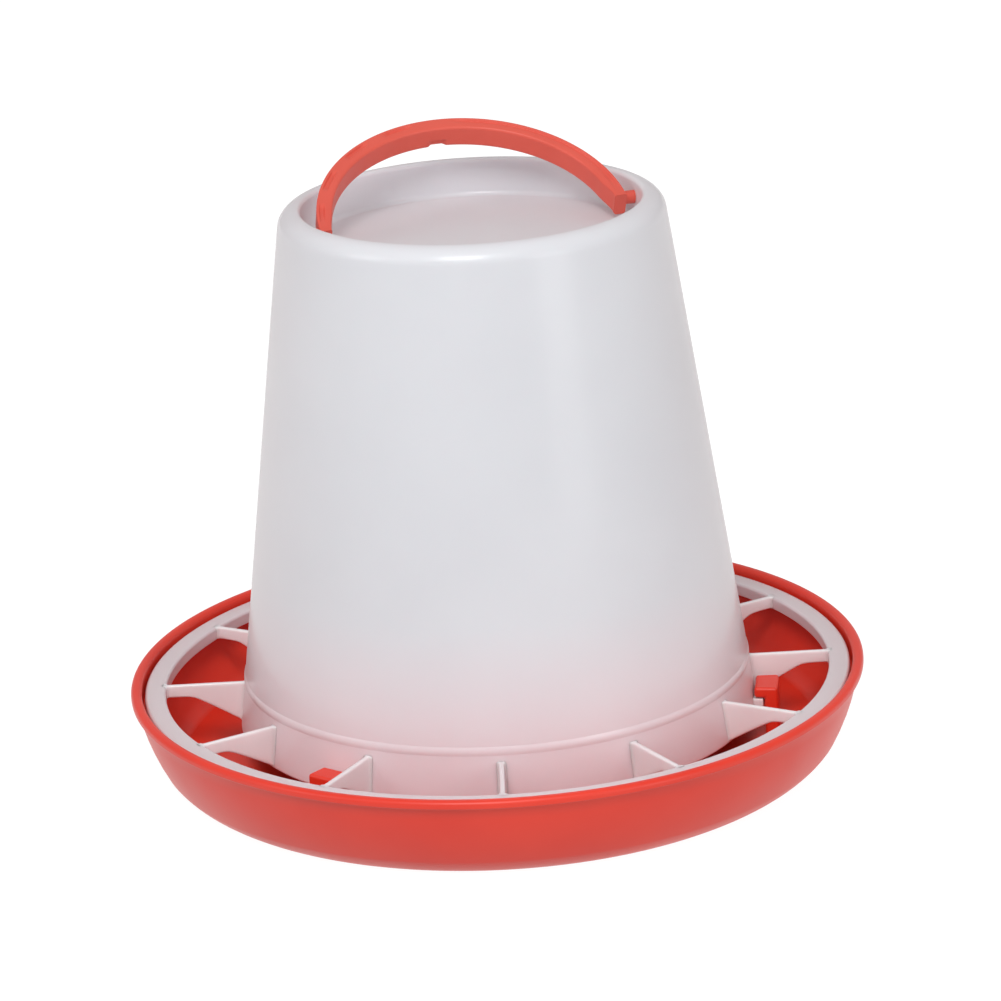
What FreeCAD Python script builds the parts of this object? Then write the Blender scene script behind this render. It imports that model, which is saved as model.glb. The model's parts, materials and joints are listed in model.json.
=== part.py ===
"""Gravity poultry feeder: a red feeding tray, a translucent hopper with a guard grille, and a red bail handle.

Millimetres, +Z up, -Y is the front. The origin is the centre of the tray's underside.
Three mouldings are split at their natural features, one named sub-part each:
tray: floor, side, rim, spreader cone and three bayonet hooks;
hopper: barrel, shoulder, recess wall, recess floor, guard ring, twelve guard webs and three lock tabs;
handle: one bail whose two pegs turn in holes in the recess wall.
"""
import FreeCAD, Part
import math
import os
import re

import Sketcher

SIZES = {
    # Tray
    "tray_radius": 109.5,
    "tray_height": 26.5,
    "tray_foot_radius": 95.8,
    "tray_foot_width": 6.0,
    "tray_foot_rise": 5.2,
    "tray_foot_round": 15.0,
    "tray_side_top_radius": 107.4,
    "tray_side_round": 60.0,
    "tray_floor": 2.2,
    "tray_floor_radius": 96.4,
    "tray_wall": 2.4,
    "lip_root_radius": 108.1,
    "lip_bottom": 24.1,
    "lip_width": 3.2,
    "lip_round": 1.4,
    "lip_corner": 0.4,
    "ledge_height": 20.2,
    "ledge_radius": 104.9,
    # Spreader cone in the middle of the tray
    "cone_base_radius": 58.0,
    "cone_tip_radius": 8.0,
    "cone_tip_height": 24.5,
    "cone_peak_height": 26.2,
    "cone_wall_upright": 2.4,
    "cone_rim_width": 0.6,
    # Three bayonet hooks on the tray floor
    "hook_count": 3,
    "hook_azimuth": -7.0,
    "hook_angle": 8.3,
    "hook_post_inner": 80.3,
    "hook_post_outer": 84.2,
    "hook_arm_inner": 77.25,
    "hook_arm_bottom": 15.8,
    "hook_top": 19.0,
    "hook_top_round": 1.2,
    # Hopper barrel
    "skirt_bottom": 11.6,
    "skirt_radius": 77.45,
    "barrel_top": 150.0,
    "barrel_top_radius": 58.27,
    "barrel_wall": 2.2,
    "bead_height": 27.5,
    "bead_half_height": 0.8,
    "bead_round": 0.9,
    # Shoulder, and recess for the handle with its two peg holes
    "shoulder_foot_height": 163.8,
    "shoulder_foot_radius": 56.42,
    "shoulder_round": 5.8,
    "crest_height": 168.9,
    "crest_radius": 50.7,
    "recess_edge_round": 1.2,
    "recess_radius": 49.5,
    "recess_floor_radius": 48.9,
    "recess_floor": 157.8,
    "recess_corner_round": 1.6,
    "recess_wall_outer": 51.5,
    "recess_wall_top": 166.6,
    "recess_wall_taper": 0.4,
    # Guard ring and its webs
    "ring_inner": 99.2,
    "ring_outer": 105.4,
    "ring_top": 24.4,
    "ring_bottom": 20.4,
    "ring_wall": 1.8,
    "ring_edge_round": 0.9,
    "web_count": 12,
    "web_thickness": 1.5,
    "web_knee_radius": 92.0,
    "web_knee_height": 20.3,
    "web_foot_round": 30.0,
    "web_end_relief": 0.003,
    # Three lock tabs on the skirt
    "tab_outer": 79.95,
    "tab_top": 15.5,
    "tab_bottom": 13.0,
    # Bail handle
    "pivot_height": 163.8,
    "pivot_azimuth": 15.0,
    "handle_lean": 65.0,
    "arch_half_span": 43.4,
    "arch_height": 40.0,
    "bail_width": 6.8,
    "bail_thickness": 4.7,
    "bail_edge_round": 0.8,
    "bail_groove_width": 2.2,
    "bail_groove_depth": 0.6,
    "notch_length": 4.2,
    "notch_roof": 38.5,
    "peg_radius": 1.95,
    "peg_end": 52.4,
    "peg_hole_radius": 2.01,
    "peg_hole_reach": 52.0,
}

document = FreeCAD.newDocument("PoultryFeeder")
sheet = document.addObject("Spreadsheet::Sheet", "Sizes")
for row, (alias, value) in enumerate(SIZES.items(), start=1):
    sheet.set(f"A{row}", alias)
    sheet.set(f"B{row}", str(value))
    sheet.setAlias(f"B{row}", alias)
document.recompute()

ALIAS = re.compile(r"\b(" + "|".join(sorted(SIZES, key=len, reverse=True)) + r")\b")


def formula(words):
    """Spell a formula of alias names the way the expression engine reads it."""
    return ALIAS.sub(r"Sizes.\1", words)


def number(words):
    """Present value of a formula of alias names."""
    return float(sheet.evalExpression(formula(words)))


def new_body(label, placement=None):
    body = document.addObject("PartDesign::Body", label)
    body.Label = label
    if placement is not None:
        body.Placement = placement
    return body


def origin_plane(body, role):
    return next(item for item in body.Origin.OriginFeatures if item.Role == role)


def arc_centre(start, end, radius, turn):
    """Centre of an arc from start to end; turn is +1 anticlockwise, -1 clockwise."""
    chord = end - start
    middle = (start + end) * 0.5
    reach = math.sqrt(max(radius ** 2 - (chord.Length / 2) ** 2, 0.0))
    left = FreeCAD.Vector(-chord.y, chord.x, 0).normalize()
    return middle + left * reach * turn


def add_edge(sketch, start, end, radius, turn):
    """Add one edge and return its index with the vertex numbers of its start and end."""
    if radius is None:
        return sketch.addGeometry(Part.LineSegment(start, end)), 1, 2
    centre = arc_centre(start, end, number(radius), turn)
    circle = Part.Circle(centre, FreeCAD.Vector(0, 0, 1), number(radius))
    first, last = (start, end) if turn > 0 else (end, start)
    angles = [math.atan2(point.y - centre.y, point.x - centre.x) for point in (first, last)]
    if angles[1] < angles[0]:
        angles[1] += 2 * math.pi
    index = sketch.addGeometry(Part.ArcOfCircle(circle, *angles))
    sketch.addConstraint(Sketcher.Constraint("Radius", index, number(radius)))
    sketch.setExpression(f"Constraints[{sketch.ConstraintCount - 1}]", formula(radius))
    return (index, 1, 2) if turn > 0 else (index, 2, 1)


def pin_coordinate(sketch, direction, index, vertex, words):
    """Hold one coordinate of a vertex at a formula of the sheet, measured from the origin."""
    if words == "0":
        axis = -2 if direction == "DistanceX" else -1
        sketch.addConstraint(Sketcher.Constraint("PointOnObject", index, vertex, axis))
        return
    sketch.addConstraint(Sketcher.Constraint(direction, -1, 1, index, vertex, number(words)))
    sketch.setExpression(f"Constraints[{sketch.ConstraintCount - 1}]", formula(words))


def outline(body, name, role, corners):
    """Closed sketch on an origin plane. A corner is (across, up) or (across, up, radius, turn);
    the radius belongs to the arc that arrives at that corner."""
    sketch = body.newObject("Sketcher::SketchObject", name)
    sketch.AttachmentSupport = (origin_plane(body, role), [""])
    sketch.MapMode = "FlatFace"
    points = [FreeCAD.Vector(number(corner[0]), number(corner[1]), 0) for corner in corners]
    edges = []
    for place, corner in enumerate(corners):
        radius, turn = corner[2:] if len(corner) > 2 else (None, 1)
        edges.append(add_edge(sketch, points[place - 1], points[place], radius, turn))
    for place, (index, first, last) in enumerate(edges):
        following, next_first, _ = edges[(place + 1) % len(edges)]
        sketch.addConstraint(Sketcher.Constraint("Coincident", index, last, following, next_first))
        pin_coordinate(sketch, "DistanceX", index, last, corners[place][0])
        pin_coordinate(sketch, "DistanceY", index, last, corners[place][1])
    return sketch


def revolve(body, sketch, angle=None):
    """Turn a profile about the sketch's upright axis, all the way or by an angle set astride the plane."""
    turned = body.newObject("PartDesign::Revolution", f"{sketch.Name}_turned")
    turned.Profile = sketch
    turned.ReferenceAxis = (sketch, ["V_Axis"])
    turned.Angle = 360
    if angle is not None:
        turned.Midplane = True
        turned.setExpression("Angle", formula(angle))
    return turned


def cylinder_along_x(body, kind, name, radius, start, length):
    """PartDesign cylinder along +X from start, at the pivot height of the body's own frame."""
    rod = body.newObject(f"PartDesign::{kind}Cylinder", name)
    rod.Placement = FreeCAD.Placement(
        FreeCAD.Vector(0, 0, 0), FreeCAD.Rotation(FreeCAD.Vector(0, 1, 0), 90)
    )
    rod.setExpression("Radius", formula(radius))
    rod.setExpression("Height", formula(length))
    rod.setExpression("Placement.Base.x", formula(start))
    return rod


def about_z(degrees):
    return FreeCAD.Placement(FreeCAD.Vector(), FreeCAD.Rotation(FreeCAD.Vector(0, 0, 1), degrees))


def cone_radius(height):
    """Formula for the barrel's outer radius at a height, along its straight taper."""
    taper = "(skirt_radius - barrel_top_radius) / (barrel_top - skirt_bottom)"
    return f"skirt_radius - ({height} - skirt_bottom) * {taper}"


def tray_floor():
    """Flat ring that the feeder stands on, between the spreader cone and the tray's side."""
    body = new_body("tray_floor")
    profile = outline(body, "floor_profile", "XZ_Plane", [
        ("cone_base_radius", "0"),
        ("tray_foot_radius", "0"),
        ("tray_foot_radius", "tray_floor"),
        ("cone_base_radius", "tray_floor"),
    ])
    revolve(body, profile)
    return body


def tray_side():
    """Curved side of the tray, up to the ledge that the guard ring rests on."""
    body = new_body("tray_side")
    profile = outline(body, "side_profile", "XZ_Plane", [
        ("tray_foot_radius", "0"),
        ("tray_foot_radius + tray_foot_width", "tray_foot_rise", "tray_foot_round", 1),
        ("tray_side_top_radius", "ledge_height", "tray_side_round", 1),
        ("ledge_radius", "ledge_height"),
        ("tray_floor_radius", "tray_floor", "tray_side_round - tray_wall", -1),
        ("tray_foot_radius", "tray_floor"),
    ])
    revolve(body, profile)
    return body


def tray_rim():
    """Rolled lip that stands out over the side and keeps the guard ring centred."""
    body = new_body("tray_rim")
    profile = outline(body, "rim_profile", "XZ_Plane", [
        ("tray_side_top_radius", "ledge_height"),
        ("lip_root_radius", "lip_bottom"),
        ("tray_radius - lip_corner", "lip_bottom"),
        ("tray_radius", "lip_bottom + lip_corner", "lip_corner", 1),
        ("tray_radius", "tray_height - lip_round"),
        ("tray_radius - lip_round", "tray_height", "lip_round", 1),
        ("tray_radius - lip_width + lip_round", "tray_height"),
        ("tray_radius - lip_width", "tray_height - lip_round", "lip_round", 1),
        ("tray_radius - lip_width", "ledge_height"),
    ])
    revolve(body, profile)
    return body


def spreader_cone():
    """Low hollow cone that sends the feed outwards under the skirt."""
    body = new_body("spreader_cone")
    rise = "(cone_peak_height - cone_tip_height)"
    tip_round = f"(cone_tip_radius ^ 2 + {rise} ^ 2) / (2 * {rise})"
    profile = outline(body, "cone_profile", "XZ_Plane", [
        ("cone_base_radius - cone_rim_width", "0"),
        ("cone_base_radius", "0"),
        ("cone_base_radius", "tray_floor"),
        ("cone_tip_radius", "cone_tip_height"),
        ("0", "cone_peak_height", tip_round, 1),
        ("0", "cone_peak_height - cone_wall_upright"),
        ("cone_tip_radius", "cone_tip_height - cone_wall_upright", tip_round, -1),
    ])
    revolve(body, profile)
    return body


def bayonet_hook(place):
    """Upright post on the tray floor with an arm reaching in over a lock tab."""
    azimuth = number("hook_azimuth") + place * 360 / number("hook_count")
    body = new_body(f"bayonet_hook_{place + 1}", about_z(azimuth))
    profile = outline(body, f"hook_profile_{place + 1}", "XZ_Plane", [
        ("hook_post_inner", "tray_floor"),
        ("hook_post_outer", "tray_floor"),
        ("hook_post_outer", "hook_top - hook_top_round"),
        ("hook_post_outer - hook_top_round", "hook_top", "hook_top_round", 1),
        ("hook_arm_inner + hook_top_round / 2", "hook_top"),
        ("hook_arm_inner", "hook_top - hook_top_round / 2", "hook_top_round / 2", 1),
        ("hook_arm_inner", "hook_arm_bottom"),
        ("hook_post_inner", "hook_arm_bottom"),
    ])
    revolve(body, profile, "hook_angle")
    return body


def hopper_barrel():
    """Tapered barrel, open at both ends, with a fine bead above the guard grille."""
    body = new_body("hopper_barrel")
    bead_foot = "(bead_height - bead_half_height)"
    bead_head = "(bead_height + bead_half_height)"
    profile = outline(body, "barrel_profile", "XZ_Plane", [
        ("skirt_radius - barrel_wall", "skirt_bottom"),
        ("skirt_radius", "skirt_bottom"),
        (cone_radius(bead_foot), bead_foot),
        (cone_radius(bead_head), bead_head, "bead_round", 1),
        ("barrel_top_radius", "barrel_top"),
        ("barrel_top_radius - barrel_wall", "barrel_top"),
    ])
    revolve(body, profile)
    return body


def hopper_shoulder():
    """Rounded shoulder that turns down into the recess, hollow inside."""
    body = new_body("hopper_shoulder")
    profile = outline(body, "shoulder_profile", "XZ_Plane", [
        ("barrel_top_radius - barrel_wall", "barrel_top"),
        ("barrel_top_radius", "barrel_top"),
        ("shoulder_foot_radius", "shoulder_foot_height"),
        ("crest_radius", "crest_height", "shoulder_round", 1),
        ("recess_radius", "crest_height - recess_edge_round", "recess_edge_round", 1),
        ("recess_radius", "recess_wall_top"),
        ("recess_wall_outer", "recess_wall_top"),
        ("shoulder_foot_radius - barrel_wall", "shoulder_foot_height", "shoulder_round - barrel_wall", -1),
    ])
    revolve(body, profile)
    return body


def recess_wall():
    """Upright wall of the recess, with a round hole on each side for the bail's pegs."""
    body = new_body("recess_wall", about_z(number("pivot_azimuth")))
    profile = outline(body, "wall_profile", "XZ_Plane", [
        ("recess_floor_radius - recess_corner_round", "recess_floor - barrel_wall"),
        ("recess_wall_outer - recess_wall_taper", "recess_floor - barrel_wall"),
        ("recess_wall_outer", "recess_wall_top"),
        ("recess_radius", "recess_wall_top"),
        ("recess_floor_radius", "recess_floor + recess_corner_round"),
        ("recess_floor_radius - recess_corner_round", "recess_floor", "recess_corner_round", -1),
    ])
    revolve(body, profile)
    bore = cylinder_along_x(
        body, "Subtractive", "peg_holes", "peg_hole_radius", "-peg_hole_reach", "2 * peg_hole_reach"
    )
    bore.setExpression("Placement.Base.z", formula("pivot_height"))
    return body


def recess_floor():
    """Flat disc that closes the hopper; the folded bail lies on it."""
    body = new_body("recess_floor")
    profile = outline(body, "disc_profile", "XZ_Plane", [
        ("0", "recess_floor - barrel_wall"),
        ("recess_floor_radius - recess_corner_round", "recess_floor - barrel_wall"),
        ("recess_floor_radius - recess_corner_round", "recess_floor"),
        ("0", "recess_floor"),
    ])
    revolve(body, profile)
    return body


def guard_ring():
    """Ring of the anti-waste grille: a channel open underneath that sits inside the tray's lip."""
    body = new_body("guard_ring")
    profile = outline(body, "ring_profile", "XZ_Plane", [
        ("ring_inner", "ring_bottom"),
        ("ring_inner + ring_wall", "ring_bottom"),
        ("ring_inner + ring_wall", "ring_top - ring_wall"),
        ("ring_outer - ring_wall", "ring_top - ring_wall"),
        ("ring_outer - ring_wall", "ring_bottom"),
        ("ring_outer", "ring_bottom"),
        ("ring_outer", "ring_top - ring_edge_round"),
        ("ring_outer - ring_edge_round", "ring_top", "ring_edge_round", 1),
        ("ring_inner + ring_edge_round", "ring_top"),
        ("ring_inner", "ring_top - ring_edge_round", "ring_edge_round", 1),
    ])
    revolve(body, profile)
    return body


def guard_web(place):
    """One upright web between the skirt and the guard ring, deeper towards the skirt."""
    body = new_body(f"guard_web_{place + 1:02d}", about_z(place * 360 / number("web_count")))
    profile = outline(body, f"web_profile_{place + 1:02d}", "XZ_Plane", [
        (cone_radius("skirt_bottom"), "skirt_bottom"),
        ("web_knee_radius", "web_knee_height", "web_foot_round", -1),
        ("ring_inner - web_end_relief", "ring_bottom"),
        ("ring_inner - web_end_relief", "ring_top"),
        (cone_radius("ring_top"), "ring_top"),
    ])
    pad = body.newObject("PartDesign::Pad", f"web_pad_{place + 1:02d}")
    pad.Profile = profile
    pad.Midplane = True
    pad.setExpression("Length", formula("web_thickness"))
    return body


def lock_tab(place):
    """Short lug on the skirt that slides in under a bayonet hook's arm."""
    azimuth = number("hook_azimuth") + place * 360 / number("hook_count")
    body = new_body(f"lock_tab_{place + 1}", about_z(azimuth))
    profile = outline(body, f"tab_profile_{place + 1}", "XZ_Plane", [
        (cone_radius("tab_bottom"), "tab_bottom"),
        ("tab_outer", "tab_bottom"),
        ("tab_outer", "tab_top"),
        (cone_radius("tab_top"), "tab_top"),
    ])
    revolve(body, profile, "hook_angle")
    return body


def bail_handle():
    """Arched bail in its own frame: X along the pegs, Z towards the apex, then leaned back."""
    pivot = FreeCAD.Vector(0, 0, number("pivot_height"))
    azimuth = FreeCAD.Rotation(FreeCAD.Vector(0, 0, 1), number("pivot_azimuth"))
    lean = FreeCAD.Rotation(FreeCAD.Vector(1, 0, 0), -number("handle_lean"))
    body = new_body("bail_handle", FreeCAD.Placement(pivot, azimuth.multiply(lean)))
    bail_arch(body)
    for side in ("right", "left"):
        bail_end(body, side)
    hanging_notch(body)
    return body


def bail_arch(body):
    """Rounded section with a shallow groove along its front face, turned about the arch's centre."""
    arch_radius = "((arch_half_span ^ 2 + arch_height ^ 2) / (2 * arch_height))"
    front = "-bail_width / 2"
    back = "bail_width / 2"
    inner = "arch_height - bail_thickness / 2"
    outer = "arch_height + bail_thickness / 2"
    groove_low = "arch_height - bail_groove_width / 2"
    groove_high = "arch_height + bail_groove_width / 2"
    corner = "bail_edge_round"
    section = outline(body, "bail_section", "YZ_Plane", [
        (f"{front} + {corner}", inner, corner, 1),
        (f"{back} - {corner}", inner),
        (back, f"{inner} + {corner}", corner, 1),
        (back, f"{outer} - {corner}"),
        (f"{back} - {corner}", outer, corner, 1),
        (f"{front} + {corner}", outer),
        (front, f"{outer} - {corner}", corner, 1),
        (front, groove_high),
        (f"{front} + bail_groove_depth", groove_high),
        (f"{front} + bail_groove_depth", groove_low),
        (front, groove_low),
        (front, f"{inner} + {corner}"),
    ])
    arch = body.newObject("PartDesign::Revolution", "bail_arch")
    arch.Profile = section
    arch.ReferenceAxis = (section, [level_axis(section, f"arch_height - {arch_radius}")])
    arch.Midplane = True
    arch.setExpression("Angle", formula(f"2 * asin(arch_half_span / {arch_radius})"))


def level_axis(sketch, height):
    """Construction line along a sketch's horizontal, at a height; returns a revolution's name for it."""
    half_length = number("bail_width")
    left = FreeCAD.Vector(-half_length, number(height), 0)
    right = FreeCAD.Vector(half_length, number(height), 0)
    line = sketch.addGeometry(Part.LineSegment(left, right), True)
    pin_coordinate(sketch, "DistanceX", line, 1, "-bail_width")
    pin_coordinate(sketch, "DistanceX", line, 2, "bail_width")
    pin_coordinate(sketch, "DistanceY", line, 1, height)
    pin_coordinate(sketch, "DistanceY", line, 2, height)
    return "Axis0"


def bail_end(body, side):
    """Round eye at the end of one arm and the peg that stands out of it."""
    eye_start = "arch_half_span - bail_thickness / 2"
    peg_start = "arch_half_span"
    if side == "left":
        eye_start = "-arch_half_span - bail_thickness / 2"
        peg_start = "-peg_end"
    cylinder_along_x(body, "Additive", f"eye_{side}", "bail_width / 2", eye_start, "bail_thickness")
    cylinder_along_x(body, "Additive", f"peg_{side}", "peg_radius", peg_start, "peg_end - arch_half_span")


def hanging_notch(body):
    """Small notch in the arch's inner back edge, at the apex."""
    notch = body.newObject("PartDesign::SubtractiveBox", "hanging_notch")
    notch.setExpression("Length", formula("notch_length"))
    notch.setExpression("Width", formula("bail_width"))
    notch.setExpression("Height", formula("bail_thickness"))
    notch.setExpression("Placement.Base.x", formula("-notch_length / 2"))
    notch.setExpression("Placement.Base.y", formula("bail_width / 6"))
    notch.setExpression("Placement.Base.z", formula("notch_roof - bail_thickness"))


def build():
    parts = [tray_floor(), tray_side(), tray_rim(), spreader_cone()]
    parts += [hopper_barrel(), hopper_shoulder(), recess_wall(), recess_floor(), guard_ring(), bail_handle()]
    hooks = range(int(number("hook_count")))
    parts += [bayonet_hook(place) for place in hooks]
    parts += [lock_tab(place) for place in hooks]
    parts += [guard_web(place) for place in range(int(number("web_count")))]
    document.recompute()
    return parts


def check(parts):
    for item in document.Objects:
        if "Invalid" in item.State or "Error" in item.State:
            raise RuntimeError(f"{item.Label} failed: {item.State}")
    for part in parts:
        if part.Shape.isNull() or not part.Shape.isValid() or len(part.Shape.Solids) != 1:
            raise RuntimeError(f"{part.Label} is not one valid solid")


def export(parts):
    os.makedirs("parts", exist_ok=True)
    for part in parts:
        part.Shape.exportStep(f"parts/{part.Label}.step")
        box = part.Shape.BoundBox
        print(f"{part.Label}: {part.Shape.Volume / 1000:.2f} cm3, z {box.ZMin:.2f} to {box.ZMax:.2f}")


sub_parts = build()
check(sub_parts)
export(sub_parts)
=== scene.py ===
"""Looks of a gravity poultry feeder: glossy red tray, milky hopper with its guard grille, and a red bail.

Every outline below is in millimetres in the frame's own axes and turned into metres by MM.
"""
import json
import math

import bmesh
import bpy
from mathutils import Matrix, Vector


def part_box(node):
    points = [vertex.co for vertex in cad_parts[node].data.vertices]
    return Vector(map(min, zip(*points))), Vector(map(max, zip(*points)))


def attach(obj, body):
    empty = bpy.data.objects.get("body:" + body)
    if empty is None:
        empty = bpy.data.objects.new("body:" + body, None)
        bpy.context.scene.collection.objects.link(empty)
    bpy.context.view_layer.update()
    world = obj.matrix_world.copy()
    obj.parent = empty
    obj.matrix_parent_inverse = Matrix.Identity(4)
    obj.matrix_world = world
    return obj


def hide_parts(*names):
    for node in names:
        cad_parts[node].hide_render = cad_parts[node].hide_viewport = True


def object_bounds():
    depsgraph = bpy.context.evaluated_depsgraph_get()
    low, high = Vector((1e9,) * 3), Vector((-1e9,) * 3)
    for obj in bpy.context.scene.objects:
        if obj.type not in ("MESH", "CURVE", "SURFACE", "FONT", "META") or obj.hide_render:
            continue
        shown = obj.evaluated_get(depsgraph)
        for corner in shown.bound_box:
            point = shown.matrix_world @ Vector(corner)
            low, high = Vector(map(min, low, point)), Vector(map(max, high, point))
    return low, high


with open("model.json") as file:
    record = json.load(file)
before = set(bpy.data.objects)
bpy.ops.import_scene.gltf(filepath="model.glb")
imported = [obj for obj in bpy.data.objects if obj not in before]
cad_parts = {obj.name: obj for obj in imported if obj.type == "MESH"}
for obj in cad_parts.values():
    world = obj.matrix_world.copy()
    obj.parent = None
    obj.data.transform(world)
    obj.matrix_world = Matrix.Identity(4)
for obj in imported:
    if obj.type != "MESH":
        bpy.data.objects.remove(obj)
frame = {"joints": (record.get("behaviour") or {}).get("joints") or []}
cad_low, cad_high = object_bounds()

MM = 0.001
ROUND_SEGMENTS = 288
ARC_STEP = math.radians(9)

# Places and sizes read from the frame, in millimetres.
RIM_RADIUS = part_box("tray_rim")[1].x / MM
RIM_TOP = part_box("tray_rim")[1].z / MM
LEDGE_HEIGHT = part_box("tray_side")[1].z / MM
FOOT_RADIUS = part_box("tray_floor")[1].x / MM
TRAY_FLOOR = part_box("tray_floor")[1].z / MM
CONE_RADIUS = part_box("spreader_cone")[1].x / MM
CONE_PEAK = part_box("spreader_cone")[1].z / MM
SKIRT_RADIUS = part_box("hopper_barrel")[1].x / MM
SKIRT_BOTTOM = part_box("hopper_barrel")[0].z / MM
BARREL_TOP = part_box("hopper_barrel")[1].z / MM
CREST_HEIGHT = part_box("hopper_shoulder")[1].z / MM
SHOULDER_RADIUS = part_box("hopper_shoulder")[1].x / MM
RECESS_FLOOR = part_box("recess_floor")[1].z / MM
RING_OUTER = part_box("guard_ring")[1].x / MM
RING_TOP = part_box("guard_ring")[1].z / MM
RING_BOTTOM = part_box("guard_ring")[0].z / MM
SWING = next(joint for joint in frame["joints"] if joint["name"] == "handle_swing")
PIVOT_HEIGHT = SWING["pos_m"][2] / MM
PIVOT_AZIMUTH = math.atan2(SWING["axis"][1], SWING["axis"][0])

# Shapes that the frame doesn't name.
WALL = 2.2
TAPER = (SKIRT_RADIUS - SHOULDER_RADIUS) / (BARREL_TOP - SKIRT_BOTTOM)
RING_INNER = 99.2
WEB_COUNT = 12
WEB_HALF = 0.75
LOCK_COUNT = 3
LOCK_AZIMUTH = math.radians(-7.0)
LOCK_SPAN = math.radians(8.3)
HANDLE_LEAN = math.radians(65.0)
ARCH_HALF_SPAN = 43.4
ARCH_HEIGHT = 40.0
ARCH_RADIUS = (ARCH_HALF_SPAN ** 2 + ARCH_HEIGHT ** 2) / (2 * ARCH_HEIGHT)
ARM_DROP = 3.0
ARM_END_ANGLE = math.acos((ARCH_RADIUS - ARCH_HEIGHT - ARM_DROP) / ARCH_RADIUS)
BAIL_WIDTH = 6.8
BAIL_THICKNESS = 4.7
PEG_RADIUS = 1.95
PEG_END = 52.4


# ---------------------------------------------------------------- outlines

def bulged(start, end, sagitta):
    """Points of an arc after start, up to end; it bulges to the right of the way travelled by sagitta."""
    chord = Vector(end) - Vector(start)
    radius = (chord.length ** 2 / 4 + sagitta ** 2) / (2 * abs(sagitta))
    side = 1 if sagitta > 0 else -1
    right = Vector((chord.y, -chord.x)).normalized() * side
    middle = (Vector(start) + Vector(end)) / 2
    centre = middle - right * (radius - abs(sagitta))
    half = math.asin(min(1.0, chord.length / 2 / radius))
    steps = max(2, math.ceil(4 * half / ARC_STEP))
    forward = chord.normalized()
    points = []
    for step in range(1, steps + 1):
        angle = -half + 2 * half * step / steps
        point = centre + right * radius * math.cos(angle) + forward * radius * math.sin(angle)
        points.append((point.x, point.y))
    return points


def filleted(corners, closed=True):
    """Outline with each corner (across, up[, radius]) rounded by an arc of its radius."""
    count = len(corners)
    points = []
    for place, corner in enumerate(corners):
        radius = corner[2] if len(corner) > 2 else 0.0
        here = Vector(corner[:2])
        if radius == 0.0 or (not closed and place in (0, count - 1)):
            points.append((here.x, here.y))
            continue
        before = (Vector(corners[place - 1][:2]) - here).normalized()
        after = (Vector(corners[(place + 1) % count][:2]) - here).normalized()
        half = before.angle(after) / 2
        reach = radius / math.tan(half)
        centre = here + (before + after).normalized() * (radius / math.sin(half))
        start = here + before * reach - centre
        end = here + after * reach - centre
        turn = start.angle_signed(end)
        steps = max(2, math.ceil(abs(turn) / ARC_STEP))
        for step in range(steps + 1):
            angle = -turn * step / steps
            point = centre + Matrix.Rotation(angle, 2) @ start
            points.append((point.x, point.y))
    return points


def filleted_evenly(corners):
    """Rounded outline with the same number of points at each corner, whatever its angle."""
    count = len(corners)
    most = 0.45
    steps = 4
    points = []
    for place, (across, up, radius) in enumerate(corners):
        here = Vector((across, up))
        before = Vector(corners[place - 1][:2]) - here
        after = Vector(corners[(place + 1) % count][:2]) - here
        reach = min(radius, before.length * most, after.length * most)
        start = here + before.normalized() * reach
        end = here + after.normalized() * reach
        for step in range(steps + 1):
            share = step / steps
            point = start * (1 - share) ** 2 + here * 2 * share * (1 - share) + end * share ** 2
            points.append((point.x, point.y))
    return points


def smooth_step(start, end, value):
    """Share from 0 to 1 of the way from start to end, easing in and out."""
    share = min(max((value - start) / (end - start), 0.0), 1.0)
    return share * share * (3 - 2 * share)


# ---------------------------------------------------------------- meshes

def mesh_object(name, build):
    """Object whose mesh is made by build(bmesh), smooth and with its faces turned outwards."""
    work = bmesh.new()
    build(work)
    bmesh.ops.remove_doubles(work, verts=work.verts, dist=1e-7)
    bmesh.ops.recalc_face_normals(work, faces=work.faces)
    mesh = bpy.data.meshes.new(name)
    work.to_mesh(mesh)
    work.free()
    mesh.shade_smooth()
    piece = bpy.data.objects.new(name, mesh)
    bpy.context.scene.collection.objects.link(piece)
    return piece


def lathe(name, outline, closed):
    """Solid of revolution about Z. An outline that isn't closed starts and ends on Z."""
    def build(work):
        rings = []
        for across, up in outline:
            if across < 1e-6:
                rings.append([work.verts.new((0, 0, up * MM))] * ROUND_SEGMENTS)
                continue
            ring = []
            for step in range(ROUND_SEGMENTS):
                angle = 2 * math.pi * step / ROUND_SEGMENTS
                place = (across * math.cos(angle) * MM, across * math.sin(angle) * MM, up * MM)
                ring.append(work.verts.new(place))
            rings.append(ring)
        pairs = list(zip(rings, rings[1:]))
        if closed:
            pairs.append((rings[-1], rings[0]))
        for low, high in pairs:
            for step in range(ROUND_SEGMENTS):
                following = (step + 1) % ROUND_SEGMENTS
                corners = [low[step], low[following], high[following], high[step]]
                unique = list(dict.fromkeys(corners))
                if len(unique) > 2:
                    work.faces.new(unique)
    return mesh_object(name, build)


def loft(name, sections):
    """Closed solid through a list of sections, each a list of points (metres) in the same order."""
    def build(work):
        rings = [[work.verts.new(point) for point in section] for section in sections]
        for low, high in zip(rings, rings[1:]):
            for step in range(len(low)):
                following = (step + 1) % len(low)
                work.faces.new((low[step], low[following], high[following], high[step]))
        work.faces.new(rings[0])
        work.faces.new(rings[-1][::-1])
    return mesh_object(name, build)


def lock_sector(name, outline, place, edge_round):
    """Piece of revolution over one of the lock's places, with its edges rounded."""
    azimuth = LOCK_AZIMUTH + place * 2 * math.pi / LOCK_COUNT
    steps = 10
    sections = []
    for step in range(steps + 1):
        turn = azimuth + LOCK_SPAN * (step / steps - 0.5)
        sections.append([
            Vector((across * math.cos(turn), across * math.sin(turn), up)) * MM
            for across, up in outline
        ])
    piece = loft(name, sections)
    add_bevel(piece, edge_round)
    return piece


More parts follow.
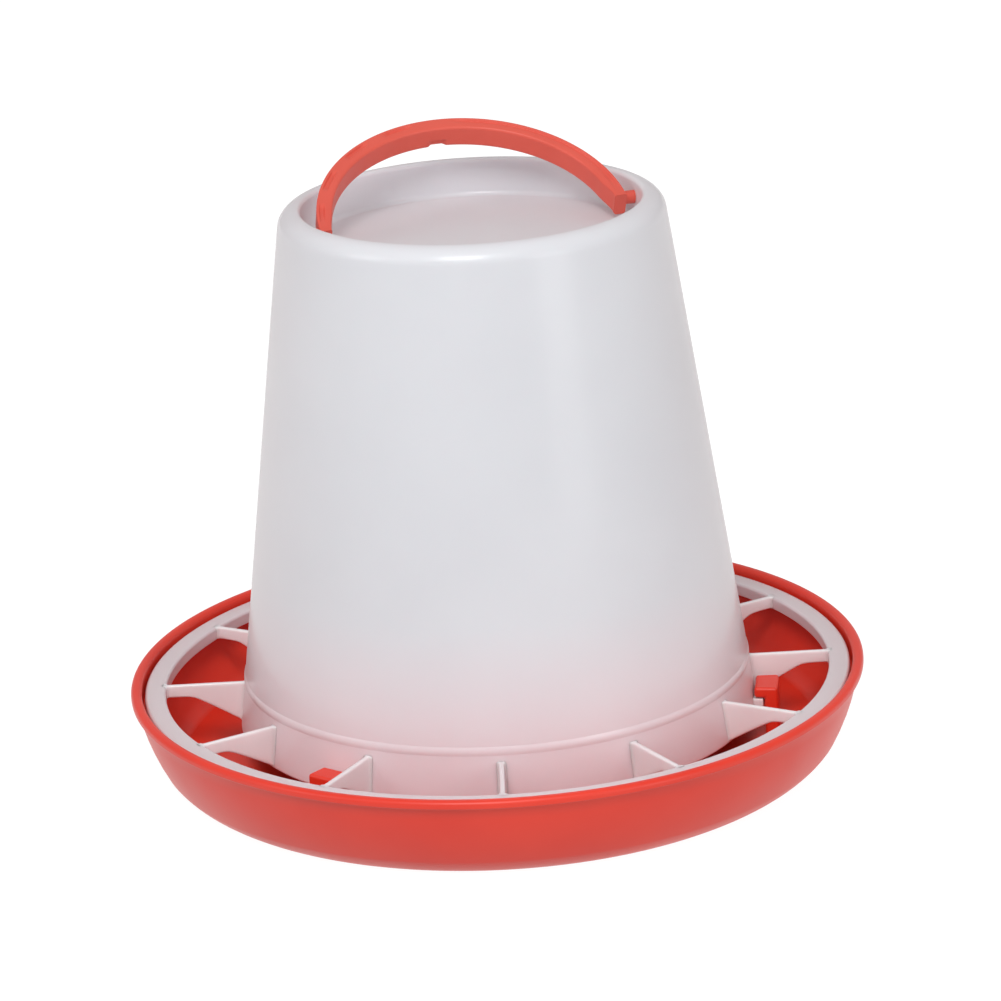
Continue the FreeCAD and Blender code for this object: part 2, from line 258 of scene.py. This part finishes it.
def add_bevel(piece, width):
    bevel = piece.modifiers.new("rounded_edges", "BEVEL")
    bevel.width = width * MM
    bevel.segments = 4
    bevel.limit_method = "ANGLE"
    bevel.angle_limit = math.radians(35)
    bevel.harden_normals = True


def even_shading(piece):
    """Flat stretches stay flat beside small roundings."""
    weighted = piece.modifiers.new("even_shading", "WEIGHTED_NORMAL")
    weighted.keep_sharp = True


def finish_piece(piece, material, body, slot, *nodes):
    """Gives a piece its material and body, and puts it in the place of the CAD nodes named; its slot is
    not used.
    """
    piece.data.materials.append(material)
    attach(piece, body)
    if nodes:
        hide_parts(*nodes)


# ---------------------------------------------------------------- materials

class Nodes:
    """Short way to add and join shader nodes in one material."""

    def __init__(self, name):
        self.material = bpy.data.materials.new(name)
        self.material.use_nodes = True
        self.tree = self.material.node_tree
        self.shader = self.tree.nodes["Principled BSDF"]

    def set_inputs(self, node, **inputs):
        for socket, value in inputs.items():
            node.inputs[socket.replace("_", " ")].default_value = value

    def add(self, kind, **inputs):
        node = self.tree.nodes.new(f"ShaderNode{kind}")
        self.set_inputs(node, **inputs)
        return node

    def join(self, start, end):
        self.tree.links.new(start, end)

    def shade(self, socket, source):
        self.join(source, self.shader.inputs[socket])

    def noise(self, scale, detail, stretch=(1, 1, 1)):
        place = self.add("TexCoord")
        mapping = self.add("Mapping", Scale=stretch)
        texture = self.add("TexNoise", Scale=scale, Detail=detail)
        self.join(place.outputs["Object"], mapping.inputs["Vector"])
        self.join(mapping.outputs["Vector"], texture.inputs["Vector"])
        return texture.outputs["Fac"]

    def ramp(self, source, low, high):
        ramp = self.add("ValToRGB")
        ramp.color_ramp.interpolation = "EASE"
        ramp.color_ramp.elements[0].color = (*low, 1)
        ramp.color_ramp.elements[1].color = (*high, 1)
        self.join(source, ramp.inputs["Fac"])
        return ramp.outputs["Color"]

    def spread(self, source, low, high, start=0.0, end=1.0):
        span = self.add("MapRange", From_Min=start, From_Max=end, To_Min=low, To_Max=high)
        self.join(source, span.inputs["Value"])
        return span.outputs["Result"]

    def height(self):
        place = self.add("TexCoord")
        split = self.add("SeparateXYZ")
        self.join(place.outputs["Object"], split.inputs["Vector"])
        return split.outputs["Z"]

    def blend(self, factor, low, high):
        colour_a, colour_b, colour_result = 6, 7, 2
        mix = self.add("Mix")
        mix.data_type = "RGBA"
        self.join(factor, mix.inputs["Factor"])
        self.join(low, mix.inputs[colour_a])
        self.join(high, mix.inputs[colour_b])
        return mix.outputs[colour_result]

    def bump(self, source, distance, below=None):
        bump = self.add("Bump", Strength=1.0, Distance=distance)
        self.join(source, bump.inputs["Height"])
        if below is not None:
            self.join(below, bump.inputs["Normal"])
        return bump.outputs["Normal"]


def red_plastic(name, deep, bright, rough_low, rough_high):
    """Injection-moulded red polyethylene: faint colour clouds, uneven gloss and fine orange peel."""
    nodes = Nodes(name)
    nodes.shade("Base Color", nodes.ramp(nodes.noise(30.0, detail=3.0), deep, bright))
    nodes.shade("Roughness", nodes.spread(nodes.noise(55.0, detail=2.0), rough_low, rough_high))
    slow = nodes.bump(nodes.noise(40.0, detail=1.0), 0.04 * MM)
    fine = nodes.bump(nodes.noise(700.0, detail=2.0), 0.010 * MM, below=slow)
    nodes.shade("Normal", fine)
    return nodes.material


def natural_polyethylene(name, depth, milky_low, milky_high, painted_glow_low, painted_glow_high):
    """Milky translucent polyethylene: light soaks through the wall.

    The base colour goes from a painted red glow low down, which stands for the red light the tray throws
    up on it, to milky white, and has painted shade where the wall turns away. depth is how far light soaks
    in, in metres.
    """
    nodes = Nodes(name)
    clouds = nodes.noise(14.0, detail=3.0)
    milky = nodes.ramp(clouds, milky_low, milky_high)
    # Painted red glow: the tray's red light is drawn into the base colour, full below 24 mm and gone above
    # 62 mm.
    painted_glow = nodes.ramp(clouds, painted_glow_low, painted_glow_high)
    glow_fade = nodes.spread(nodes.height(), 0.0, 1.0, 24 * MM, 62 * MM)
    # Painted shade: where the wall turns away from view, the base colour blends towards a darker pinkish
    # grey.
    rim = nodes.add("LayerWeight", Blend=0.3)
    edge_shade = nodes.ramp(rim.outputs["Facing"], (0.0, 0.0, 0.0), (0.9, 0.9, 0.9))
    body_colour = nodes.blend(glow_fade, painted_glow, milky)
    edge_shade_colour = nodes.ramp(clouds, (0.66, 0.58, 0.60), (0.72, 0.65, 0.67))
    nodes.shade("Base Color", nodes.blend(edge_shade, body_colour, edge_shade_colour))
    nodes.shade("Roughness", nodes.spread(nodes.noise(35.0, detail=2.0), 0.32, 0.44))
    flow = nodes.bump(nodes.noise(25.0, detail=1.0, stretch=(1, 1, 0.25)), 0.08 * MM)
    fine = nodes.bump(nodes.noise(700.0, detail=2.0), 0.006 * MM, below=flow)
    nodes.shade("Normal", fine)
    nodes.set_inputs(
        nodes.shader, Subsurface_Weight=1.0, Subsurface_Radius=(1.0, 0.92, 0.94),
        Subsurface_Scale=depth, Coat_Weight=0.3, Coat_Roughness=0.15
    )
    return nodes.material


# ---------------------------------------------------------------- tray

def feeding_tray(material):
    """Pan with a rolled lip and a low cone in the middle, one skin inside and out."""
    cone_tip = 8.0
    tip_drop = 1.7
    tip_sagitta = 0.42
    cone_under = CONE_PEAK - 2.4
    side_foot = (FOOT_RADIUS + 6.0, 5.2)
    side_top = (RIM_RADIUS - 1.4, RIM_TOP - 2.6)
    lip_bottom = RIM_TOP - 2.4
    lip_inner = RIM_RADIUS - 3.2
    ledge = lip_inner - 1.6
    side_inner_top = (ledge, LEDGE_HEIGHT - 1.0)
    side_inner_foot = (FOOT_RADIUS + 1.8, TRAY_FLOOR + 0.8)
    corners = [
        (0, cone_under),
        *bulged((0, cone_under), (cone_tip, cone_under - tip_drop), -tip_sagitta),
        (CONE_RADIUS - 0.6, 0, 0.3),
        (FOOT_RADIUS, 0, 1.0),
        *bulged((FOOT_RADIUS, 0), side_foot, 0.5),
        *bulged(side_foot, side_top, 0.8),
        (RIM_RADIUS, lip_bottom, 0.5),
        (RIM_RADIUS, RIM_TOP, 1.4),
        (lip_inner, RIM_TOP, 1.4),
        (lip_inner, LEDGE_HEIGHT, 0.4),
        (ledge, LEDGE_HEIGHT, 0.6),
        *bulged(side_inner_top, side_inner_foot, -0.8),
        (FOOT_RADIUS - 0.6, TRAY_FLOOR, 2.0),
        (CONE_RADIUS, TRAY_FLOOR, 3.0),
        (cone_tip, CONE_PEAK - tip_drop),
        *bulged((cone_tip, CONE_PEAK - tip_drop), (0, CONE_PEAK), tip_sagitta),
    ]
    piece = lathe("feeding_tray", filleted(corners, closed=False), closed=False)
    even_shading(piece)
    finish_piece(
        piece, material, "tray", "tray_red",
        "tray_floor", "tray_side", "tray_rim", "spreader_cone"
    )


def bayonet_hooks(material):
    """Post and inward arm, one over each lock tab, sunk a little into the floor."""
    root = TRAY_FLOOR - 0.4
    post_inner = 80.3
    post_outer = 84.2
    arm_end = 77.25
    arm_bottom = 15.8
    arm_top = 19.0
    outline = [
        (post_inner, root), (post_outer, root), (post_outer, arm_top),
        (arm_end, arm_top), (arm_end, arm_bottom), (post_inner, arm_bottom),
    ]
    for place in range(LOCK_COUNT):
        node = f"bayonet_hook_{place + 1}"
        piece = lock_sector(node + "_moulded", outline, place, 0.9)
        even_shading(piece)
        finish_piece(piece, material, "tray", "tray_red", node)


# ---------------------------------------------------------------- hopper

def cone_radius(height):
    return SKIRT_RADIUS - (height - SKIRT_BOTTOM) * TAPER


def hopper_shell(material):
    """Barrel, bead, shoulder and recessed top in one thin skin.

    Its recess wall has no peg holes: the pegs pass straight through it.
    """
    bead_middle = 27.5
    bead_half = 1.4
    bead_top = (cone_radius(bead_middle + bead_half), bead_middle + bead_half)
    bead_bottom = (cone_radius(bead_middle - bead_half), bead_middle - bead_half)
    ceiling = CREST_HEIGHT - 2.3
    recess_foot = 48.9
    recess_mouth = 49.5
    back_foot = 51.1
    back_top = 51.6
    corners = [
        (0, RECESS_FLOOR),
        (recess_foot, RECESS_FLOOR, 1.6),
        (recess_mouth, CREST_HEIGHT, 1.2),
        (cone_radius(CREST_HEIGHT), CREST_HEIGHT, 5.6),
        bead_top,
        *bulged(bead_top, bead_bottom, -0.3),
        (SKIRT_RADIUS, SKIRT_BOTTOM, 0.7),
        (SKIRT_RADIUS - WALL, SKIRT_BOTTOM, 0.7),
        (cone_radius(ceiling) - WALL, ceiling, 1.1),
        (back_top, ceiling, 1.0),
        (back_foot, RECESS_FLOOR - WALL, 0.6),
        (0, RECESS_FLOOR - WALL),
    ]
    piece = lathe("hopper_shell", filleted(corners, closed=False), closed=False)
    even_shading(piece)
    finish_piece(
        piece, material, "hopper", "hopper_natural",
        "hopper_barrel", "hopper_shoulder", "recess_wall", "recess_floor"
    )


def guard_ring(material):
    """Ring like a channel that is open below."""
    wall = 1.8
    low_round = 0.4
    top_round = 0.9
    corners = [
        (RING_INNER, RING_BOTTOM, low_round),
        (RING_INNER + wall, RING_BOTTOM, low_round),
        (RING_INNER + wall, RING_TOP - wall, low_round),
        (RING_OUTER - wall, RING_TOP - wall, low_round),
        (RING_OUTER - wall, RING_BOTTOM, low_round),
        (RING_OUTER, RING_BOTTOM, low_round),
        (RING_OUTER, RING_TOP, top_round),
        (RING_INNER, RING_TOP, top_round),
    ]
    piece = lathe("guard_ring_moulded", filleted(corners), closed=True)
    even_shading(piece)
    finish_piece(piece, material, "hopper", "hopper_natural", "guard_ring")


def web_low_edge(share):
    """Lowest height of a web at a share of the way from the skirt to the ring.

    A slope from the skirt's foot eases into a level just above the ring's own.
    """
    level = RING_BOTTOM + 0.15
    slope_rise = 13.9
    easing = 0.8
    drop = level - (SKIRT_BOTTOM + slope_rise * share)
    return level - (drop + math.sqrt(drop ** 2 + easing ** 2)) / 2


def web_half_thickness(distance_in, distance_out):
    """Half the web's thickness, flared by a fillet where it meets the skirt and the ring."""
    fillet = 0.8
    flare = 0.0
    for distance in (distance_in, distance_out):
        if distance < fillet:
            gap = fillet - max(distance, 0.0)
            flare += fillet - math.sqrt(max(fillet ** 2 - gap ** 2, 0.0))
    return WEB_HALF + flare


def web_section(share, azimuth):
    """Rounded upright section of a web, tilted to the skirt's taper at its inner end."""
    sink = 1.3
    low = web_low_edge(share)
    high = RING_TOP
    corner = 0.5
    chamfer = corner * 0.3
    rows = 7
    between = [low + (high - low) * row / rows for row in range(1, rows)]
    rising = [
        (low, corner), (low + chamfer, chamfer), (low + corner, 0.0),
        *[(height, 0.0) for height in between],
        (high - corner, 0.0), (high - chamfer, chamfer), (high, corner),
    ]
    direction = Vector((math.cos(azimuth), math.sin(azimuth), 0))
    sideways = Vector((-direction.y, direction.x, 0))
    points = []
    for side, outline in ((1, rising), (-1, rising[::-1])):
        for height, cut in outline:
            inner = cone_radius(height) - sink
            radius = inner + (RING_INNER + sink - inner) * share
            full = web_half_thickness(radius - cone_radius(height), RING_INNER - radius)
            offset = (full - cut) * side
            point = direction * radius + sideways * offset + Vector((0, 0, height))
            points.append(point * MM)
    return points


def guard_webs(material):
    """Twelve webs, with their sections closer together near the skirt and the ring."""
    stations = 36
    shares = [0.5 - 0.5 * math.cos(math.pi * step / stations) for step in range(stations + 1)]
    for place in range(WEB_COUNT):
        node = f"guard_web_{place + 1:02d}"
        azimuth = 2 * math.pi * place / WEB_COUNT
        piece = loft(node + "_moulded", [web_section(share, azimuth) for share in shares])
        even_shading(piece)
        finish_piece(piece, material, "hopper", "hopper_natural", node)


def lock_tabs(material):
    """Small blocks on the skirt, one under each hook's arm."""
    inner = 76.6
    outer = 79.9
    bottom = 13.0
    top = 15.5
    outline = [(inner, bottom), (outer, bottom), (outer, top), (inner, top)]
    for place in range(LOCK_COUNT):
        node = f"lock_tab_{place + 1}"
        piece = lock_sector(node + "_moulded", outline, place, 0.4)
        even_shading(piece)
        finish_piece(piece, material, "hopper", "hopper_natural", node)


# ---------------------------------------------------------------- handle

def handle_frame():
    """Turns the bail's own axes (X along the pegs, Z to the apex) into the leaning place at rest."""
    pivot = Matrix.Translation(Vector((0, 0, PIVOT_HEIGHT)) * MM)
    azimuth = Matrix.Rotation(PIVOT_AZIMUTH, 4, "Z")
    lean = Matrix.Rotation(-HANDLE_LEAN, 4, "X")
    return pivot @ azimuth @ lean


def groove_depth(angle):
    """Depth of the front groove: even on one arm, a row of soft hollows on the other, none at the apex."""
    reach = abs(angle) / ARM_END_ANGLE
    envelope = smooth_step(0.04, 0.16, reach) * (1 - smooth_step(0.86, 0.97, reach))
    groove = 0.5
    hollow = 0.6
    beat = 17.0
    if angle > 0:
        return groove * envelope
    wave = 0.5 + 0.5 * math.sin(angle * beat)
    return hollow * envelope * smooth_step(0.25, 0.75, wave)


def bail_section(angle):
    """Rounded section of the bail at an angle from the apex, as (width, thickness) from its centreline.

    The arms thin towards their ends, and half of the inner face has a notch at the apex.
    """
    half_width = BAIL_WIDTH / 2
    half_thick = BAIL_THICKNESS / 2
    inner = -half_thick + 1.2 * smooth_step(0.86, 1.0, abs(angle) / ARM_END_ANGLE)
    depth = groove_depth(angle)
    along = ARCH_RADIUS * math.sin(angle)
    notch = 0.95 * smooth_step(3.0, 1.7, abs(along))
    corners = [
        (-half_width, inner, 0.9),
        (0.9, inner, 0.2),
        (1.2, inner + notch, 0.2),
        (half_width, inner + notch, 0.9),
        (half_width, half_thick, 0.9),
        (-half_width, half_thick, 0.7),
        (-half_width, 1.55, 0.1),
        (-half_width + depth, 1.25, 0.1),
        (-half_width + depth, 0.25, 0.1),
        (-half_width, -0.15, 0.1),
    ]
    return filleted_evenly(corners)


def peg_sections(place, side):
    """Circles at both ends of the peg on one side."""
    sides = 48
    sections = []
    for along in (ARCH_HALF_SPAN, PEG_END):
        ring = []
        for step in range(sides):
            angle = 2 * math.pi * step / sides
            across = PEG_RADIUS * math.cos(angle)
            up = PEG_RADIUS * math.sin(angle)
            ring.append(place @ (Vector((along * side, across, up)) * MM))
        sections.append(ring)
    return sections


def bail_handle(material):
    """Arched band with a peg across each arm end."""
    place = handle_frame()
    stations = 240
    sections = []
    for step in range(stations + 1):
        angle = ARM_END_ANGLE * (2 * step / stations - 1)
        outward = Vector((math.sin(angle), 0, math.cos(angle)))
        centre = Vector((0, 0, ARCH_HEIGHT - ARCH_RADIUS)) + outward * ARCH_RADIUS
        sections.append([
            place @ ((centre + Vector((0, width, 0)) + outward * thick) * MM)
            for width, thick in bail_section(angle)
        ])
    piece = loft("bail_arch", sections)
    even_shading(piece)
    finish_piece(piece, material, "handle", "handle_red", "bail_handle")
    for name, side in (("bail_peg_right", 1), ("bail_peg_left", -1)):
        peg = loft(name, peg_sections(place, side))
        add_bevel(peg, 0.3)
        finish_piece(peg, material, "handle", "handle_red")


# ---------------------------------------------------------------- studio

def add_camera():
    """Long lens a little above the object, rolled as the object leans in its picture."""
    elevation = math.radians(18.31)
    roll = math.radians(-3.13)
    distance = 1.210
    aim = Vector((0.0038, 0.0, 0.0769))
    forward = Vector((0, math.cos(elevation), -math.sin(elevation)))
    level = Vector((1, 0, 0))
    upright = level.cross(forward)
    right = level * math.cos(roll) + upright * math.sin(roll)
    up = upright * math.cos(roll) - level * math.sin(roll)
    data = bpy.data.cameras.new("camera")
    data.lens = 147.2
    data.sensor_width = 36.0
    data.clip_start = 0.05
    data.clip_end = 30.0
    camera = bpy.data.objects.new("camera", data)
    turn = Matrix((right, up, -forward)).transposed().to_4x4()
    camera.matrix_world = Matrix.Translation(aim - forward * distance) @ turn
    bpy.context.scene.collection.objects.link(camera)
    bpy.context.scene.camera = camera


def add_softbox(name, place, aim, size, power):
    """Rectangular white light of a size (metres) and power (watts), facing aim."""
    data = bpy.data.lights.new(name, "AREA")
    data.shape = "RECTANGLE"
    data.size, data.size_y = size
    data.energy = power
    lamp = bpy.data.objects.new(name, data)
    lamp.location = place
    lamp.rotation_euler = (Vector(aim) - Vector(place)).to_track_quat("-Z", "Y").to_euler()
    bpy.context.scene.collection.objects.link(lamp)


def add_studio():
    """Bright white room: even sky, pale floor and large soft lights.

    The floor glows evenly, so that it stays white, and diffuse rays from the object don't see it.
    """
    world = bpy.data.worlds.new("studio")
    world.use_nodes = True
    sky = world.node_tree.nodes["Background"]
    sky.inputs["Color"].default_value = (1.0, 1.0, 1.0, 1)
    sky.inputs["Strength"].default_value = 0.50
    bpy.context.scene.world = world
    gap = 0.2 * MM
    bpy.ops.mesh.primitive_plane_add(size=12.0, location=(0, 0, cad_low.z - gap))
    floor = bpy.context.object
    floor.name = "studio_floor"
    nodes = Nodes("floor_white")
    nodes.set_inputs(
        nodes.shader, Base_Color=(0.12, 0.12, 0.12, 1), Roughness=0.9,
        Emission_Color=(1, 1, 1, 1), Emission_Strength=0.96
    )
    floor.data.materials.append(nodes.material)
    floor.visible_diffuse = False
    middle = (0, 0, cad_high.z / 2)
    add_softbox("front_key", (-0.14, -1.0, 1.2), middle, (0.5, 0.5), 9.0)
    add_softbox("strip_right", (0.98, -0.98, 0.42), middle, (0.5, 0.8), 3.0)
    add_softbox("window_left", (-1.2, -0.5, 0.8), middle, (0.5, 0.5), 2.5)
    bpy.context.scene.view_settings.view_transform = "Standard"


# ---------------------------------------------------------------- assembly

tray_material = red_plastic(
    "tray_red_plastic", deep=(0.80, 0.030, 0.012), bright=(0.92, 0.050, 0.022),
    rough_low=0.32, rough_high=0.46
)
handle_material = red_plastic(
    "handle_red_plastic", deep=(0.70, 0.085, 0.055), bright=(0.84, 0.120, 0.080),
    rough_low=0.36, rough_high=0.50
)
hopper_material = natural_polyethylene(
    "natural_polyethylene", depth=0.0018,
    milky_low=(0.75, 0.755, 0.79), milky_high=(0.83, 0.835, 0.87),
    painted_glow_low=(0.86, 0.73, 0.76), painted_glow_high=(0.92, 0.79, 0.82)
)
# The ring is the same plastic painted darker and redder: a painted red glow from the tray around it.
ring_material_red_glow = natural_polyethylene(
    "natural_polyethylene_ring_red_glow", depth=0.0010,
    milky_low=(0.80, 0.78, 0.80), milky_high=(0.86, 0.84, 0.86),
    painted_glow_low=(0.76, 0.65, 0.67), painted_glow_high=(0.84, 0.73, 0.75)
)
# The webs and tabs are the same plastic painted lighter, with a fainter painted red glow: painted light
# that lifts their shade.
web_material_lit = natural_polyethylene(
    "natural_polyethylene_web_lit", depth=0.0010,
    milky_low=(0.86, 0.85, 0.86), milky_high=(0.92, 0.91, 0.92),
    painted_glow_low=(0.88, 0.83, 0.84), painted_glow_high=(0.93, 0.88, 0.89)
)

feeding_tray(tray_material)
bayonet_hooks(tray_material)
hopper_shell(hopper_material)
guard_ring(ring_material_red_glow)
guard_webs(web_material_lit)
lock_tabs(web_material_lit)
bail_handle(handle_material)
add_camera()
add_studio()
